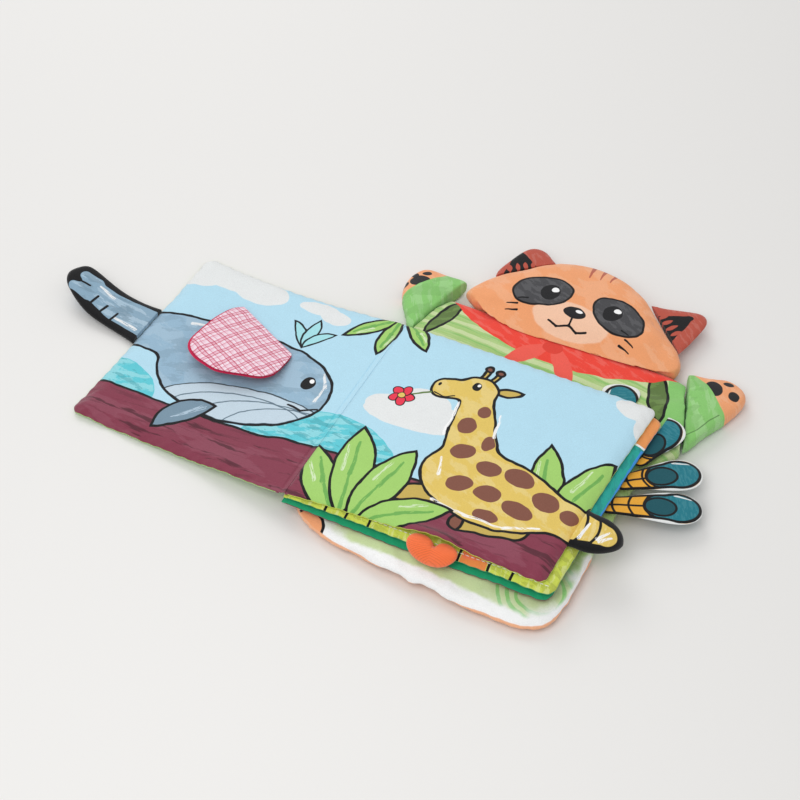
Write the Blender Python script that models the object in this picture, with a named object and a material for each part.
"""Crinkle cloth book for babies: padded cloth leaves sewn to a stuffed animal-shaped pad.

Metres, +Z up. The origin lies on the table under the middle of the pages: +X runs
across the pages to the right, +Y up the pages to the pad's head. One leaf lies turned
to the left on the table, three lie on the pad.
"""
import math

import bmesh
import bpy
import numpy as np
from mathutils import Matrix, Vector

# Cloth, film and clearances
GAP = 0.0003
CLOTH = 0.0006
FILM = 0.00025
WADDING_LEAST = 0.0006
SEAM = 2 * CLOTH + GAP

# Leaves
PAGE_WIDTH = 0.175
PAGE_HEIGHT = 0.154
LEAF_THICKNESS = 0.0051
LEAF_RAMP = 0.060
EDGE_ROLL = 0.006
CORNER_RADIUS = 0.006
DRAW_IN = 0.0012
CORE_INSET = 0.0115
LEFT_RISE_RUN = 0.140
FOLD_SPACE = 0.004
FOLD_DROP = 0.0015
LEFT_FLOOR = 0.0002
SWELL_LIFT = 0.0065
SWELL_REACH = 0.022
SWELL_DEPTH = 0.0055

# Stuffed pad
BODY_WIDTH = 0.184
BODY_HEIGHT = 0.218
BODY_SEAM_HEIGHT = 0.0065
SEAT_AT_SPINE = 0.0120
SEAT_AT_EDGE = 0.0127
REST_CUT = 0.0005
HEAD_WIDTH = 0.156
HEAD_HEIGHT = 0.076
HEAD_SEAM_HEIGHT = 0.0095
HEAD_CROWN = 0.0095
HEAD_BELLY = 0.0090
ARM_WIDTH = 0.060
ARM_SEAM_HEIGHT = 0.0065
ARM_CROWN = 0.0062
ARM_BELLY = 0.0061
EAR_LENGTH = 0.034
EAR_THICKNESS = 0.0045

# Sewn-on tabs
SIDE_TAB_LENGTH = 0.068
SIDE_TAB_WIDTH = 0.034
SIDE_TAB_UP = 0.0034
SIDE_TAB_DOWN = 0.0024
SIDE_TAB_CURL = 0.013
FLAP_WIDTH = 0.055
FLAP_CLOTH = 0.0009
FLAP_PUFF = 0.0085
LINING_MARGIN = 0.0016
BANDED_LENGTH = 0.028
BANDED_WIDTH = 0.029
BANDED_UP = 0.0042
BANDED_DOWN = 0.0020
BANDED_DROOP = 0.0035
FEATHER_LENGTH = 0.058
FEATHER_WIDTH = 0.025
FEATHER_THICKNESS = 0.0018
KNIT_WIDTH = 0.033
KNIT_LENGTH = 0.017
KNIT_THICKNESS = 0.0062
KNIT_BEND_RADIUS = 0.0075
KNIT_BEND_TURN = math.radians(78)

# Spine binding
BINDING_CLOTH = 0.0008
BINDING_INSET = 0.0015
BINDING_FOOT = 0.0035

# Where the leaves' inner bottom corner stands
SPINE_X = -PAGE_WIDTH / 2
FOOT_Y = -PAGE_HEIGHT / 2

# How finely the forms are divided
LEAF_CELLS_ALONG = 10
LEAF_CELLS_UP = 12
CORE_CELLS = 6
FORM_RINGS = 10
TAB_RINGS = 8
THIN_RINGS = 6
BODY_STEPS = 44
HEAD_STEPS = 40
FLAP_STEPS = 28
TAB_STEPS = 24
THIN_STEPS = 20
BINDING_CELLS_ALONG = 12
BINDING_CELLS_UP = 4
SHARP_TURN = math.radians(50)
LEVEL_SHARE = 1e-5


# Shared helpers

def clear_scene():
    for item in list(bpy.data.objects):
        bpy.data.objects.remove(item, do_unlink=True)


def book_spot(x, y):
    """A spot given from the leaves' inner bottom corner."""
    return Vector((SPINE_X + x, FOOT_Y + y))


def fabric(name, colour, roughness=0.9):
    """A plain cloth material in the piece's main colour."""
    material = bpy.data.materials.new(name)
    material.use_nodes = True
    shader = material.node_tree.nodes["Principled BSDF"]
    shader.inputs["Base Color"].default_value = (*colour, 1.0)
    shader.inputs["Roughness"].default_value = roughness
    shader.inputs["Metallic"].default_value = 0.0
    return material


def hinge_empty(name, spot, parent=None):
    """An empty on a joint's axis; the pieces that turn about it hang from it."""
    empty = bpy.data.objects.new(name, None)
    empty.empty_display_size = EAR_LENGTH
    bpy.context.scene.collection.children[BOOK].objects.link(empty)
    empty.parent = parent
    empty.location = Vector(spot) - (world_spot(parent) if parent else Vector((0, 0, 0)))
    return empty


def world_spot(item):
    """Where an unturned object stands, through its parents."""
    spot = Vector(item.location)
    while item.parent:
        item = item.parent
        spot += item.location
    return spot


def finish_piece(name, bm, material, parent=None):
    """Close the mesh up, smooth it and hang it from its joint's empty."""
    bmesh.ops.recalc_face_normals(bm, faces=bm.faces[:])
    if bm.calc_volume(signed=True) < 0:
        bmesh.ops.reverse_faces(bm, faces=bm.faces[:])
    if parent:
        bmesh.ops.translate(bm, verts=bm.verts[:], vec=-world_spot(parent))
    mesh = bpy.data.meshes.new(name)
    bm.to_mesh(mesh)
    bm.free()
    mesh.shade_smooth()
    mesh.set_sharp_from_angle(angle=SHARP_TURN)
    mesh.materials.append(material)
    piece = bpy.data.objects.new(name, mesh)
    bpy.context.scene.collection.children[BOOK].objects.link(piece)
    piece.parent = parent
    return piece


def smooth_loop(points, count):
    """Even steps along a closed Catmull-Rom curve through the points."""
    points = np.array([tuple(point) for point in points])
    before, after = np.roll(points, 1, axis=0), np.roll(points, -1, axis=0)
    beyond = np.roll(points, -2, axis=0)
    fine = []
    for step in np.linspace(0, 1, count, endpoint=False):
        fine.append(0.5 * (2 * points + (after - before) * step
                           + (2 * before - 5 * points + 4 * after - beyond) * step ** 2
                           + (3 * points - before - 3 * after + beyond) * step ** 3))
    curve = np.stack(fine, axis=1).reshape(-1, 2)
    closed = np.vstack([curve, curve[:1]])
    length = np.concatenate([[0], np.cumsum(np.linalg.norm(np.diff(closed, axis=0), axis=1))])
    steps = np.linspace(0, length[-1], count, endpoint=False)
    return np.column_stack([np.interp(steps, length, closed[:, axis]) for axis in (0, 1)])


def outline(shares, width, height, corner):
    """An outline's points in the book's plan, from shares of its width and height."""
    return [Vector(corner) + Vector((width * along, height * up)) for along, up in shares]


def trim(bm, spot, normal):
    """Cut a form flat by a plane, drop what lies past it and close the cut."""
    everything = bm.verts[:] + bm.edges[:] + bm.faces[:]
    cut = bmesh.ops.bisect_plane(bm, geom=everything, plane_co=spot, plane_no=normal,
                                 clear_outer=True)
    rim = [part for part in cut["geom_cut"] if isinstance(part, bmesh.types.BMEdge)]
    bmesh.ops.contextual_create(bm, geom=rim)


def stuffed_form(loop, up, down, place, rings=TAB_RINGS, plan_share=0.5, rise_share=0.5):
    """A sewn and stuffed pad: a sphere whose equator is drawn out to the seam's loop.

    The shares are below one for a pad that is flat on top and full at its sides.
    """
    bm = bmesh.new()
    bmesh.ops.create_uvsphere(bm, u_segments=len(loop), v_segments=rings, radius=1)
    centre = loop.mean(axis=0)
    for vert in bm.verts:
        turn = math.atan2(vert.co.y, vert.co.x) % math.tau
        rim = loop[round(turn / math.tau * len(loop)) % len(loop)]
        reach = min(math.hypot(vert.co.x, vert.co.y), 1) ** plan_share
        rise = max(abs(vert.co.z) - LEVEL_SHARE, 0) ** rise_share
        x, y = centre + (rim - centre) * reach
        vert.co = place(x, y, rise * (up if vert.co.z > 0 else -down))
    return bm


def shaped_sheet(cells_along, cells_up, top, bottom):
    """A sheet: a grid primitive extruded once, each of its sides set by a function."""
    bm = bmesh.new()
    bmesh.ops.create_grid(bm, x_segments=cells_along, y_segments=cells_up, size=1)
    lower = bm.verts[:]
    made = bmesh.ops.extrude_face_region(bm, geom=bm.faces[:], use_keep_orig=True)
    upper = [part for part in made["geom"] if isinstance(part, bmesh.types.BMVert)]
    for verts, side in ((lower, bottom), (upper, top)):
        for vert in verts:
            vert.co = side((vert.co.x + 1) / 2, (vert.co.y + 1) / 2)
    return bm


def toward_edge(share):
    """Even shares drawn together towards one."""
    return math.sin(share * math.pi / 2)


def toward_both_edges(share):
    """Even shares drawn together towards nought and one."""
    return (1 - math.cos(share * math.pi)) / 2


# The leaves' shape

LEAVES = {
    "bottom_leaf": {"order": 0, "width_share": 1.012, "lean_share": 0.045, "foot_share": -0.023,
                    "drop_share": -0.030, "rise_share": 0.0, "sag_share": 0.016,
                    "front": (0.02, 0.34, 0.14), "back": (0.27, 0.05, 0.08)},
    "middle_leaf": {"order": 1, "width_share": 1.018, "lean_share": 0.039, "foot_share": -0.016,
                    "drop_share": -0.020, "rise_share": 0.0, "sag_share": 0.010,
                    "front": (0.63, 0.72, 0.10), "back": (0.02, 0.34, 0.14)},
    "top_leaf": {"order": 2, "width_share": 0.985, "lean_share": 0.045, "foot_share": 0.0,
                 "drop_share": -0.029, "rise_share": 0.0, "sag_share": 0.0,
                 "front": (0.48, 0.75, 0.89), "back": (0.63, 0.72, 0.10)},
}
LEFT_LEAF = {"width_share": 0.874, "lean_share": -0.039, "foot_share": 0.010,
             "drop_share": -0.039, "rise_share": 0.038, "sag_share": 0.0,
             "front": (0.40, 0.62, 0.78), "back": (0.60, 0.78, 0.44)}


def leaf_width(leaf):
    return PAGE_WIDTH * leaf["width_share"]


def seat_height(x):
    """The flat that the leaves press into the pad, rising a little from the spine."""
    return SEAT_AT_SPINE + (SEAT_AT_EDGE - SEAT_AT_SPINE) * x / PAGE_WIDTH


def leaf_thickness(x):
    """A leaf's full thickness: a bare seam at the spine, wadded farther out."""
    return SEAM + (LEAF_THICKNESS - SEAM) * (1 - math.exp(-max(x, 0) / LEAF_RAMP))


def core_start():
    """Where a leaf first has room for its film and wadding."""
    room = (2 * GAP + FILM + WADDING_LEAST) / (LEAF_THICKNESS - SEAM)
    return -LEAF_RAMP * math.log(1 - room)


def leaf_plan(leaf, x, y):
    """A leaf's plan: its edges drawn in between the corners, leaning, sagging and spreading."""
    along, up = x / leaf_width(leaf), y / PAGE_HEIGHT
    belly = DRAW_IN * (1 - (2 * up - 1) ** 2) * along
    waist = DRAW_IN * (1 - (2 * along - 1) ** 2) * (1 - 2 * up)
    sag = leaf["sag_share"] * math.sin(math.pi * along) * (1 - up)
    drop = leaf["drop_share"] * (1 - along) * (1 - up)
    rise = leaf["rise_share"] * along * up
    return (x - belly + PAGE_HEIGHT * leaf["lean_share"] * along * (up - 0.5),
            y + waist + PAGE_HEIGHT * (leaf["foot_share"] + drop + rise - sag))


def leaf_spot(leaf, u, v, inset, start):
    """A spot on a leaf before it leans: shares along and up, round at the free corners."""
    far, half = leaf_width(leaf) - inset, PAGE_HEIGHT / 2 - inset
    x, rise = start + u * (far - start), (2 * v - 1) * half
    radius = max(CORNER_RADIUS - inset, GAP)
    past_x, past_y = x - (far - radius), abs(rise) - (half - radius)
    edge = min(leaf_width(leaf) - x, PAGE_HEIGHT / 2 - abs(rise))
    if past_x > 0 and past_y > 0:
        pull = max(past_x, past_y) / math.hypot(past_x, past_y)
        x -= past_x * (1 - pull)
        rise -= math.copysign(past_y * (1 - pull), rise)
        edge = inset + radius - max(past_x, past_y)
    return x, PAGE_HEIGHT / 2 + rise, edge


def leaf_half(x, edge):
    """Half the padded leaf's thickness, rolled off towards its sewn edges."""
    roll = math.sqrt(max(0, 1 - (1 - min(edge / EDGE_ROLL, 1)) ** 2))
    return GAP / 2 + (leaf_thickness(x) / 2 - GAP / 2) * roll


def swell(leaf, x, y):
    """The top leaf's bottom edge rises in a soft swell over the knit tab."""
    if leaf["order"] < 2:
        return 0
    across = (x - KNIT_AT_SHARE * PAGE_WIDTH) / SWELL_REACH
    return SWELL_LIFT * math.exp(-across ** 2 - (y / SWELL_DEPTH) ** 2)


def stack_middle(leaf, x, y):
    """The height of a right-hand leaf's middle, lying on the pad and the leaves below."""
    thick = leaf_thickness(x)
    return seat_height(x) + GAP + leaf["order"] * (thick + GAP) + thick / 2 + swell(leaf, x, y)


def crease_height():
    """The fold between the turned leaf and the top leaf lies on the top leaf's face."""
    return stack_middle(LEAVES["top_leaf"], 0, PAGE_HEIGHT) + SEAM / 2


def place_right(leaf, x, y, height):
    plan = leaf_plan(leaf, x, y)
    return Vector((*book_spot(plan[0] + GAP / 2, plan[1]),
                   stack_middle(leaf, x, y) + height))


def left_middle(x):
    """The turned leaf falls from the fold in a curve and then lies flat on the table."""
    low = LEFT_FLOOR + LEAF_THICKNESS / 2
    high = crease_height() - FOLD_DROP - SEAM / 2
    return low + (high - low) * max(0, 1 - x / LEFT_RISE_RUN) ** 2


def place_left(leaf, x, y, height):
    plan = leaf_plan(leaf, x, y)
    return Vector((*book_spot(-FOLD_SPACE - plan[0], plan[1]), left_middle(x) + height))


def leaf_layer(leaf, place, cells, start, top, top_inset, bottom, bottom_inset):
    """One layer of a leaf: its faces' heights above the middle, and their insets."""
    def side(height, inset):
        def spot(u, v):
            x, y, edge = leaf_spot(leaf, toward_edge(u), toward_both_edges(v), inset, start)
            return place(leaf, x, y, height(x, edge))
        return spot
    return shaped_sheet(*cells, side(top, top_inset), side(bottom, bottom_inset))


def leaf_pieces(name, leaf, place, hinge):
    """A leaf's front cloth, crinkle film, wadding and back cloth."""
    def inner(x, edge):
        return max(leaf_half(x, edge) - CLOTH, GAP / 2)

    def core(x, edge):
        return leaf_half(x, edge) - CLOTH - GAP

    cloth_cells = (LEAF_CELLS_ALONG, LEAF_CELLS_UP)
    core_cells = (CORE_CELLS, CORE_CELLS)
    front = leaf_layer(leaf, place, cloth_cells, 0, leaf_half, 0, inner, CLOTH)
    back = leaf_layer(leaf, place, cloth_cells, 0, lambda x, edge: -inner(x, edge), CLOTH,
                      lambda x, edge: -leaf_half(x, edge), 0)
    film = leaf_layer(leaf, place, core_cells, core_start(), core, CORE_INSET,
                      lambda x, edge: core(x, edge) - FILM, CORE_INSET)
    wadding = leaf_layer(leaf, place, core_cells, core_start(),
                         lambda x, edge: core(x, edge) - FILM - GAP, CORE_INSET,
                         lambda x, edge: -core(x, edge), CORE_INSET)
    finish_piece(name + "_front_cloth", front, fabric(name + "_front", leaf["front"]), hinge)
    finish_piece(name + "_crinkle_film", film, fabric("crinkle_film", FILM_COLOUR, 0.3), hinge)
    finish_piece(name + "_wadding", wadding, fabric("wadding", WADDING_COLOUR), hinge)
    finish_piece(name + "_back_cloth", back, fabric(name + "_back", leaf["back"]), hinge)


def edge_frame(place, leaf, y):
    """A leaf's free edge: a spot on its seam, the way out and the way up along it."""
    far = leaf_width(leaf)
    spot = place(leaf, far, y, 0)
    along = place(leaf, far, y + CORNER_RADIUS, 0) - place(leaf, far, y - CORNER_RADIUS, 0)
    along.z = 0
    along.normalize()
    out = along.cross(Vector((0, 0, 1)))
    return spot, (out if spot.x > SPINE_X else -out), along


# The stuffed pad

BODY_SHARES = (
    (0.000, 0.132), (0.026, 0.079), (0.086, 0.041), (0.195, 0.014), (0.387, 0.000),
    (0.604, -0.009), (0.822, -0.013), (0.955, -0.004), (1.000, 0.045), (1.000, 0.159),
    (1.001, 0.355), (1.007, 0.542), (1.035, 0.668), (1.110, 0.757), (1.115, 0.879),
    (1.028, 0.991), (0.876, 1.000), (0.507, 1.000), (0.170, 1.000), (0.039, 0.995),
    (-0.015, 0.925), (-0.010, 0.841), (0.000, 0.752), (0.000, 0.542), (0.000, 0.308))
HEAD_SHARES = (
    (0.981, 0.147), (0.864, 0.093), (0.734, 0.053), (0.591, 0.040), (0.442, 0.013),
    (0.292, 0.000), (0.175, 0.053), (0.084, 0.147), (0.006, 0.240), (0.026, 0.360),
    (0.091, 0.573), (0.175, 0.733), (0.260, 0.893), (0.403, 1.000), (0.539, 1.000),
    (0.656, 0.933), (0.747, 0.827), (0.841, 0.633), (0.935, 0.440), (0.994, 0.280))
LEFT_ARM_SHARES = (
    (0.17, 0.13), (0.23, 0.67), (0.33, 1.03), (0.20, 1.10), (0.03, 1.07), (-0.13, 1.10),
    (-0.27, 1.08), (-0.35, 0.92), (-0.35, 0.70), (-0.28, 0.52), (-0.13, 0.30), (0.00, 0.12))
RIGHT_ARM_SHARES = (
    (0.00, -0.02), (0.10, 0.20), (0.23, 0.52), (0.33, 0.82), (0.34, 1.00), (0.20, 1.10),
    (0.03, 1.12), (-0.15, 1.02), (-0.32, 1.00), (-0.45, 0.90), (-0.33, 0.50), (-0.20, 0.10))
LEFT_EAR_SHARES = (
    (0.10, -0.05), (0.95, 0.62), (0.72, 0.92), (0.52, 1.06), (0.28, 1.04), (0.14, 0.86),
    (0.02, 0.50), (-0.08, 0.08))
RIGHT_EAR_SHARES = (
    (-0.10, -0.05), (0.78, -0.98), (0.97, -0.74), (1.06, -0.30), (1.12, 0.05), (1.06, 0.24),
    (0.92, 0.30), (0.50, 0.18), (0.16, 0.08))

# Where the pad's forms stand, as shares of the page's width and height
BODY_AT_SHARES = (0.0, -0.130)
HEAD_AT_SHARES = (0.097, 1.208)
HEAD_JOIN_SHARE = 1.286
NECK_AXIS_SHARE = 1.200
LEFT_SHOULDER_SHARES = ((0.000, 0.974), (0.089, 1.390))
RIGHT_SHOULDER_SHARES = ((1.126, 0.948), (1.006, 1.338))
LEFT_EAR_ROOT_SHARES = ((0.091, 0.573), (0.260, 0.893))
RIGHT_EAR_ROOT_SHARES = ((0.747, 0.827), (0.935, 0.440))


def page_spot(shares):
    """A spot in the plan from shares of the page's width and height."""
    return book_spot(PAGE_WIDTH * shares[0], PAGE_HEIGHT * shares[1])


def head_spot(shares):
    corner = page_spot(HEAD_AT_SHARES)
    return corner + Vector((HEAD_WIDTH * shares[0], HEAD_HEIGHT * shares[1]))


def level(height):
    """Place a form flat, with its seam at this height."""
    return lambda x, y, rise: Vector((x, y, height + rise))


def outward(low, high, inside):
    """The plan's unit vector square to a root line, away from a spot inside the form."""
    along = (high - low).normalized()
    out = Vector((along.y, -along.x))
    return out if (low - inside).dot(out) > 0 else -out


def plush_body():
    corner = page_spot(BODY_AT_SHARES) - Vector((BINDING_INSET - GAP, 0))
    loop = smooth_loop(outline(BODY_SHARES, BODY_WIDTH, BODY_HEIGHT, corner), BODY_STEPS)
    seat_middle = seat_height(PAGE_WIDTH / 2)
    bm = stuffed_form(loop, seat_middle + REST_CUT - BODY_SEAM_HEIGHT,
                      BODY_SEAM_HEIGHT + REST_CUT, level(BODY_SEAM_HEIGHT), FORM_RINGS,
                      plan_share=0.45, rise_share=0.45)
    trim(bm, Vector((0, 0, 0)), Vector((0, 0, -1)))
    tilt = Vector((SEAT_AT_SPINE - SEAT_AT_EDGE, 0, PAGE_WIDTH)).normalized()
    trim(bm, Vector((0, 0, seat_middle)), tilt)
    for shoulder in (LEFT_SHOULDER_SHARES, RIGHT_SHOULDER_SHARES):
        low, high = (page_spot(shares) for shares in shoulder)
        out = outward(low, high, Vector((0, 0)))
        trim(bm, (low - out * GAP / 2).to_3d(), out.to_3d())
    finish_piece("plush_body", bm, fabric("shirt_stripes", (0.60, 0.80, 0.48)))


def plush_arm(name, shoulder, shares, hinge):
    low, high = (page_spot(spot) for spot in shoulder)
    out = outward(low, high, Vector((0, 0)))
    loop = smooth_loop(outline(shares, ARM_WIDTH, ARM_WIDTH, low), TAB_STEPS)
    bm = stuffed_form(loop, ARM_CROWN, ARM_BELLY, level(ARM_SEAM_HEIGHT))
    trim(bm, (low + out * GAP / 2).to_3d(), -out.to_3d())
    finish_piece(name, bm, fabric("sleeve_green", (0.50, 0.77, 0.41)), hinge)


def plush_head(hinge):
    """The head's chin lies on the body; what is lower starts past the body's top seam."""
    corner = page_spot(HEAD_AT_SHARES)
    loop = smooth_loop(outline(HEAD_SHARES, HEAD_WIDTH, HEAD_HEIGHT, corner), HEAD_STEPS)
    bm = stuffed_form(loop, HEAD_CROWN, HEAD_BELLY, level(HEAD_SEAM_HEIGHT), FORM_RINGS)
    head = finish_piece("plush_head", bm, fabric("head_orange", (0.96, 0.65, 0.45)), hinge)
    join = page_spot((0, HEAD_JOIN_SHARE)).y + 2 * GAP
    under = bmesh.new()
    bmesh.ops.create_cube(under, size=1)
    depth = HEAD_HEIGHT
    top = SEAT_AT_EDGE + GAP
    bmesh.ops.scale(under, verts=under.verts[:], vec=(2 * HEAD_WIDTH, depth, 2 * top))
    bmesh.ops.translate(under, verts=under.verts[:],
                        vec=(head_spot((0.5, 0)).x, join - depth / 2, 0))
    mesh = bpy.data.meshes.new("neck_cutter")
    under.to_mesh(mesh)
    under.free()
    cutter = bpy.data.objects.new("neck_cutter", mesh)
    bpy.context.scene.collection.children[CUTTERS].objects.link(cutter)
    cutter.hide_render = True
    cutter.display_type = "WIRE"
    cut = head.modifiers.new("neck", "BOOLEAN")
    cut.operation = "DIFFERENCE"
    cut.object = cutter


def plush_ear(name, root, shares, hinge):
    low, high = (head_spot(spot) for spot in root)
    out = outward(low, high, head_spot((0.5, 0.5)))
    loop = smooth_loop(outline(shares, EAR_LENGTH, EAR_LENGTH, low), THIN_STEPS)
    bm = stuffed_form(loop, EAR_THICKNESS / 2, EAR_THICKNESS / 2, level(HEAD_SEAM_HEIGHT),
                      rings=THIN_RINGS, plan_share=0.6)
    trim(bm, (low + out * 2 * GAP).to_3d(), -out.to_3d())
    finish_piece(name, bm, fabric("ear_rust", (0.80, 0.37, 0.30)), hinge)


# Tabs, flap and binding

SIDE_TAB_SHARES = (
    (-0.10, -0.52), (0.11, -0.52), (0.35, -0.48), (0.59, -0.43), (0.80, -0.26), (0.94, -0.08),
    (1.00, 0.12), (0.94, 0.29), (0.96, 0.46), (0.87, 0.55), (0.70, 0.50), (0.42, 0.41),
    (0.11, 0.40), (-0.10, 0.40))
BANDED_SHARES = (
    (-0.18, -0.45), (0.14, -0.48), (0.43, -0.46), (0.71, -0.31), (0.93, -0.07),
    (1.00, 0.12), (0.93, 0.31), (0.71, 0.45), (0.43, 0.50), (0.14, 0.48), (-0.18, 0.45))
FEATHER_SHARES = (
    (-0.12, -0.20), (0.20, -0.30), (0.50, -0.44), (0.74, -0.50), (0.92, -0.36), (1.00, 0.00),
    (0.92, 0.36), (0.74, 0.50), (0.50, 0.44), (0.20, 0.30), (-0.12, 0.20))
KNIT_SHARES = (
    (-0.50, 0.42), (-0.44, 0.10), (-0.24, -0.02), (0.00, 0.10), (0.24, -0.02), (0.44, 0.10),
    (0.50, 0.42), (0.38, 0.76), (0.14, 0.98), (-0.14, 0.98), (-0.38, 0.76))
FLAP_SHARES = (
    (-0.97, 0.00), (-0.50, 0.02), (0.02, 0.02), (0.19, -0.20), (0.29, -0.42), (0.21, -0.58),
    (0.06, -0.71), (-0.18, -0.90), (-0.56, -0.97), (-0.76, -0.88), (-0.83, -0.70),
    (-0.96, -0.32))
SIDE_TAB_AT_SHARE = 0.545
BANDED_AT_SHARE = 0.295
KNIT_AT_SHARE = 0.580
FLAP_ROOT_SHARES = ((-0.615, 0.836), (-0.333, 0.673))

# The knit tab: how thick its root is, how far it lies flat and how deep its dimple is,
# as shares of its thickness and length
KNIT_ROOT_SHARE = 0.6
KNIT_FLAT_SHARE = 0.25
KNIT_DIMPLE_SHARE = 0.35

# Each feather: its root's share along its edge, its length's and droop's shares of the
# longest feather, and its turn in degrees
FEATHERS = (
    ("feather_tab_1", 0.855, 0.44, 0.026, 110),
    ("feather_tab_2", 0.805, 0.695, 0.000, 78),
    ("feather_tab_3", 0.665, 0.876, 0.080, 40.5),
    ("feather_tab_4", 0.530, 1.00, 0.105, 28.3),
)


def edge_tab(name, frame, shares, length, width, up, down, lift, colour, hinge):
    """A stuffed tab in a leaf's edge seam: its outline runs outward from the edge."""
    spot, out, along = frame

    def place(x, y, rise):
        return spot + out * x + along * y + Vector((0, 0, lift(x / length) + rise))

    loop = smooth_loop(outline(shares, length, width, (0, 0)), TAB_STEPS)
    bm = stuffed_form(loop, up, down, place, plan_share=0.6)
    trim(bm, spot + out * GAP, -out)
    finish_piece(name, bm, fabric(name + "_print", colour), hinge)


def feather_frame(order):
    """The first feather springs from the bottom leaf's top edge, the others from its side."""
    leaf = LEAVES["bottom_leaf"]
    share = FEATHERS[order][1]
    if order:
        return edge_frame(place_right, leaf, PAGE_HEIGHT * share)
    spot = place_right(leaf, PAGE_WIDTH * share, PAGE_HEIGHT, 0)
    return spot, Vector((0, 1, 0)), Vector((-1, 0, 0))


def feather_tab(order, hinge):
    name, _, length_share, droop_share, turn = FEATHERS[order]
    length = FEATHER_LENGTH * length_share
    spot, out, _ = feather_frame(order)
    ahead = Matrix.Rotation(math.radians(turn), 3, "Z") @ Vector((1, 0, 0))
    aside = Vector((-ahead.y, ahead.x, 0))

    def place(x, y, rise):
        fall = FEATHER_LENGTH * droop_share * max(x / length, 0) ** 1.2
        return spot + ahead * x + aside * y + Vector((0, 0, rise - fall))

    loop = smooth_loop(outline(FEATHER_SHARES, length, FEATHER_WIDTH, (0, 0)), THIN_STEPS)
    bm = stuffed_form(loop, FEATHER_THICKNESS / 2, FEATHER_THICKNESS / 2, place, rings=THIN_RINGS,
                      plan_share=0.5, rise_share=0.4)
    trim(bm, spot + out * GAP, -out)
    finish_piece(name, bm, fabric("feather_teal", (0.16, 0.53, 0.60)), hinge)


def flap_frame():
    """The check flap's sewn line on the turned leaf: its two ends."""
    return [page_spot(shares) for shares in FLAP_ROOT_SHARES]


def left_face(x, y):
    """The height of the turned leaf's printed face at a spot in the plan."""
    from_fold = -(x - SPINE_X) - FOLD_SPACE
    return left_middle(from_fold) + leaf_thickness(from_fold) / 2


def check_flap(hinge):
    """A check cloth over a crimson lining, sewn along one side and puffed at the others."""
    far, near = flap_frame()
    along = (near - far).normalized()
    down = Vector((along.y, -along.x))

    def layer(name, base, margin, colour):
        def place(x, y, rise):
            away = max((Vector((x, y)) - near).dot(down), 0)
            puff = FLAP_PUFF * (1 - (1 - min(away / FLAP_WIDTH, 1)) ** 2)
            return Vector((x, y, left_face(x, y) + base + puff + rise))

        reach = FLAP_WIDTH + margin
        points = [near + along * (reach * a) - down * (reach * b) for a, b in FLAP_SHARES]
        bm = stuffed_form(smooth_loop(points, FLAP_STEPS), FLAP_CLOTH / 2, FLAP_CLOTH / 2, place,
                          rings=THIN_RINGS, plan_share=0.6, rise_share=0.4)
        trim(bm, (near + down * GAP).to_3d(), -down.to_3d())
        finish_piece(name, bm, fabric(name, colour), hinge)

    layer("check_flap_lining", GAP + FLAP_CLOTH / 2, LINING_MARGIN, (0.80, 0.12, 0.33))
    layer("check_flap_cloth", 2 * GAP + FLAP_CLOTH * 1.5, 0, (0.95, 0.80, 0.87))


def knit_root():
    """Where the knit tab is sewn on the middle leaf's face, a little in from its edge."""
    leaf = LEAVES["middle_leaf"]
    x = PAGE_WIDTH * KNIT_AT_SHARE
    spot = place_right(leaf, x, 0, 0)
    face = stack_middle(leaf, x, 0) + leaf_thickness(x) / 2
    return Vector((spot.x, spot.y + CLOTH + KNIT_LENGTH * KNIT_FLAT_SHARE, face))


def knit_tab(hinge):
    """A folded rib-knit piece that hangs over the middle leaf's edge, drawn in at its top."""
    root = knit_root()
    middle = root.z + GAP + KNIT_ROOT_SHARE * KNIT_THICKNESS / 2
    turn_at = KNIT_LENGTH * KNIT_FLAT_SHARE

    def place(x, y, rise):
        dimple = KNIT_DIMPLE_SHARE * math.exp(-(x / (KNIT_THICKNESS / 2)) ** 2)
        rise *= 1 - dimple * (1 - y / KNIT_LENGTH)
        rise *= min(KNIT_ROOT_SHARE + y / KNIT_LENGTH, 1)
        past = max(y - turn_at, 0)
        turn = min(past / KNIT_BEND_RADIUS, KNIT_BEND_TURN)
        straight = max(past - KNIT_BEND_TURN * KNIT_BEND_RADIUS, 0)
        out = min(y, turn_at) + (KNIT_BEND_RADIUS + rise) * math.sin(turn)
        out += straight * math.cos(turn)
        fall = KNIT_BEND_RADIUS - (KNIT_BEND_RADIUS + rise) * math.cos(turn)
        fall += straight * math.sin(turn)
        return Vector((root.x + x, root.y - out, middle - fall))

    loop = smooth_loop(outline(KNIT_SHARES, KNIT_WIDTH, KNIT_LENGTH, (0, 0)), FLAP_STEPS)
    bm = stuffed_form(loop, KNIT_THICKNESS / 2, KNIT_THICKNESS / 2, place, plan_share=0.6)
    finish_piece("knit_tab", bm, fabric("coral_knit", (0.98, 0.42, 0.27)), hinge)


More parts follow.
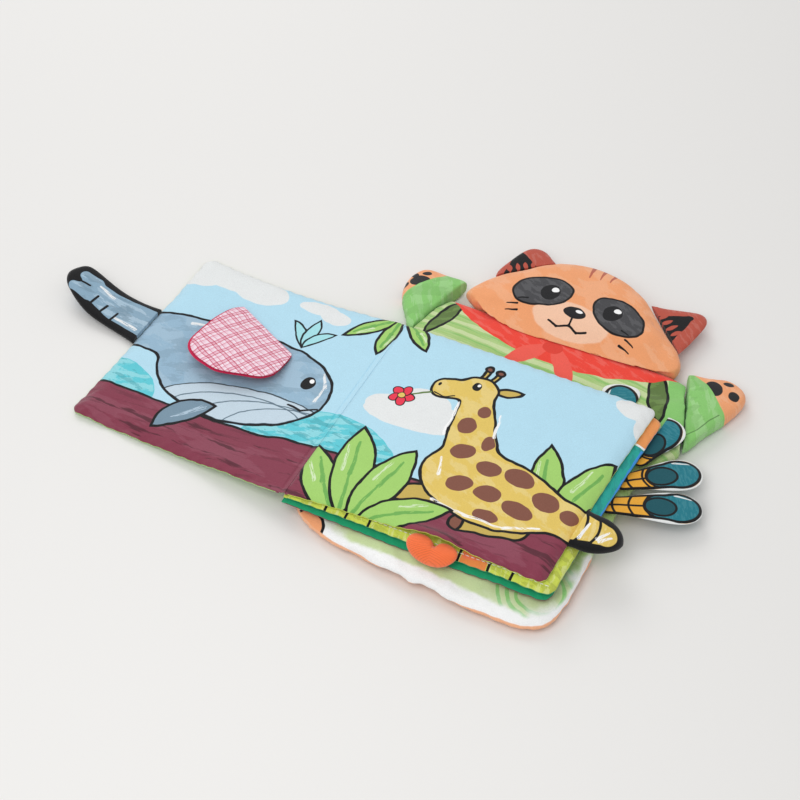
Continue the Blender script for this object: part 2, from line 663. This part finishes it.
def spine_binding():
    """A cloth strip up the pad's side that turns over under the left leaf's inner end."""
    drop = crease_height() - FOLD_DROP - SEAM - GAP - BINDING_CLOTH / 2
    radius = FOLD_SPACE - BINDING_INSET - BINDING_CLOTH / 2
    upright = drop - radius - GAP - BINDING_FOOT
    lap = FOLD_SPACE
    whole = upright + radius * math.pi / 2 + lap

    def path(share):
        """The strip's middle line and its normal: upright, a quarter turn, a sloping lap."""
        run = share * whole
        if run <= upright:
            return -BINDING_INSET - BINDING_CLOTH / 2, BINDING_FOOT + run, 1, 0
        turn = min((run - upright) / radius, math.pi / 2)
        past = max(run - upright - radius * math.pi / 2, 0)
        slope = (left_middle(0) - left_middle(lap)) / lap
        x = -BINDING_INSET - BINDING_CLOTH / 2 - radius * (1 - math.cos(turn)) - past
        return (x, BINDING_FOOT + upright + radius * math.sin(turn) - past * slope,
                math.cos(turn), math.sin(turn))

    def side(offset):
        def spot(u, v):
            """Offset from the middle line at a share up the strip and along the spine."""
            x, z, lean, rise = path(u)
            y = CORNER_RADIUS / 2 + v * (PAGE_HEIGHT - CORNER_RADIUS)
            return Vector((*book_spot(x + offset * lean, y), z + offset * rise))
        return spot

    bm = shaped_sheet(BINDING_CELLS_ALONG, BINDING_CELLS_UP, side(BINDING_CLOTH / 2),
                      side(-BINDING_CLOTH / 2))
    finish_piece("spine_binding", bm, fabric("binding_green", (0.63, 0.80, 0.47)))


# Put together

BOOK = "crinkle_cloth_book"
CUTTERS = "cutters"
FILM_COLOUR = (0.80, 0.82, 0.84)
WADDING_COLOUR = (0.86, 0.86, 0.84)


def root_hinge(name, low, high, height, parent=None):
    """An empty at the middle of a root line."""
    middle = (low + high) / 2
    return hinge_empty(name, (middle.x, middle.y, height), parent)


def build_leaves():
    """The leaves' empties form a chain: a lower leaf carries the ones that lie on it."""
    hinges = {}
    carrier = None
    for name, leaf in LEAVES.items():
        height = stack_middle(leaf, 0, PAGE_HEIGHT)
        if name == "top_leaf":
            height = crease_height()
        carrier = hinge_empty(name + "_hinge", (SPINE_X, 0, height), carrier)
        leaf_pieces(name, leaf, place_right, carrier)
        hinges[name] = carrier
    hinges["left_leaf"] = hinge_empty("left_leaf_hinge", (SPINE_X, 0, crease_height()))
    leaf_pieces("left_leaf", LEFT_LEAF, place_left, hinges["left_leaf"])
    return hinges


def build_pad():
    plush_body()
    neck = page_spot((0.5, NECK_AXIS_SHARE))
    head = hinge_empty("head_hinge", (neck.x, neck.y, SEAT_AT_EDGE))
    plush_head(head)
    ear_height = HEAD_SEAM_HEIGHT + EAR_THICKNESS / 2
    for name, root, shares in (("plush_left_ear", LEFT_EAR_ROOT_SHARES, LEFT_EAR_SHARES),
                               ("plush_right_ear", RIGHT_EAR_ROOT_SHARES, RIGHT_EAR_SHARES)):
        low, high = (head_spot(spot) for spot in root)
        plush_ear(name, root, shares, root_hinge(name + "_hinge", low, high, ear_height, head))
    arm_height = ARM_SEAM_HEIGHT + ARM_CROWN
    for name, shoulder, shares in (("plush_left_arm", LEFT_SHOULDER_SHARES, LEFT_ARM_SHARES),
                                   ("plush_right_arm", RIGHT_SHOULDER_SHARES,
                                    RIGHT_ARM_SHARES)):
        low, high = (page_spot(spot) for spot in shoulder)
        plush_arm(name, shoulder, shares, root_hinge(name + "_hinge", low, high, arm_height))


def build_tabs(hinges):
    frame = edge_frame(place_left, LEFT_LEAF, PAGE_HEIGHT * SIDE_TAB_AT_SHARE)
    hinge = hinge_empty("side_tab_hinge", frame[0] + Vector((0, 0, SIDE_TAB_UP)),
                        hinges["left_leaf"])
    edge_tab("side_tab", frame, SIDE_TAB_SHARES, SIDE_TAB_LENGTH, SIDE_TAB_WIDTH,
             SIDE_TAB_UP, SIDE_TAB_DOWN, lambda share: SIDE_TAB_CURL * max(share, 0) ** 2,
             (0.60, 0.73, 0.82), hinge)
    frame = edge_frame(place_right, LEAVES["top_leaf"], PAGE_HEIGHT * BANDED_AT_SHARE)
    hinge = hinge_empty("banded_tab_hinge", frame[0] + Vector((0, 0, BANDED_UP)),
                        hinges["top_leaf"])
    edge_tab("banded_tab", frame, BANDED_SHARES, BANDED_LENGTH, BANDED_WIDTH,
             BANDED_UP, BANDED_DOWN, lambda share: -BANDED_DROOP * max(share, 0) ** 3,
             (0.90, 0.78, 0.40), hinge)
    for order, feather in enumerate(FEATHERS):
        spot = feather_frame(order)[0] + Vector((0, 0, FEATHER_THICKNESS / 2))
        feather_tab(order, hinge_empty(feather[0] + "_hinge", spot, hinges["bottom_leaf"]))
    far, near = flap_frame()
    height = (left_face(*far) + left_face(*near)) / 2 + 1.5 * GAP + FLAP_CLOTH
    check_flap(root_hinge("check_flap_hinge", far, near, height, hinges["left_leaf"]))
    knit_tab(hinge_empty("knit_tab_hinge", knit_root(), hinges["middle_leaf"]))


def main():
    clear_scene()
    for name in (BOOK, CUTTERS):
        old = bpy.data.collections.get(name)
        if old:
            bpy.data.collections.remove(old)
        bpy.context.scene.collection.children.link(bpy.data.collections.new(name))
    hinges = build_leaves()
    spine_binding()
    build_pad()
    build_tabs(hinges)


main()
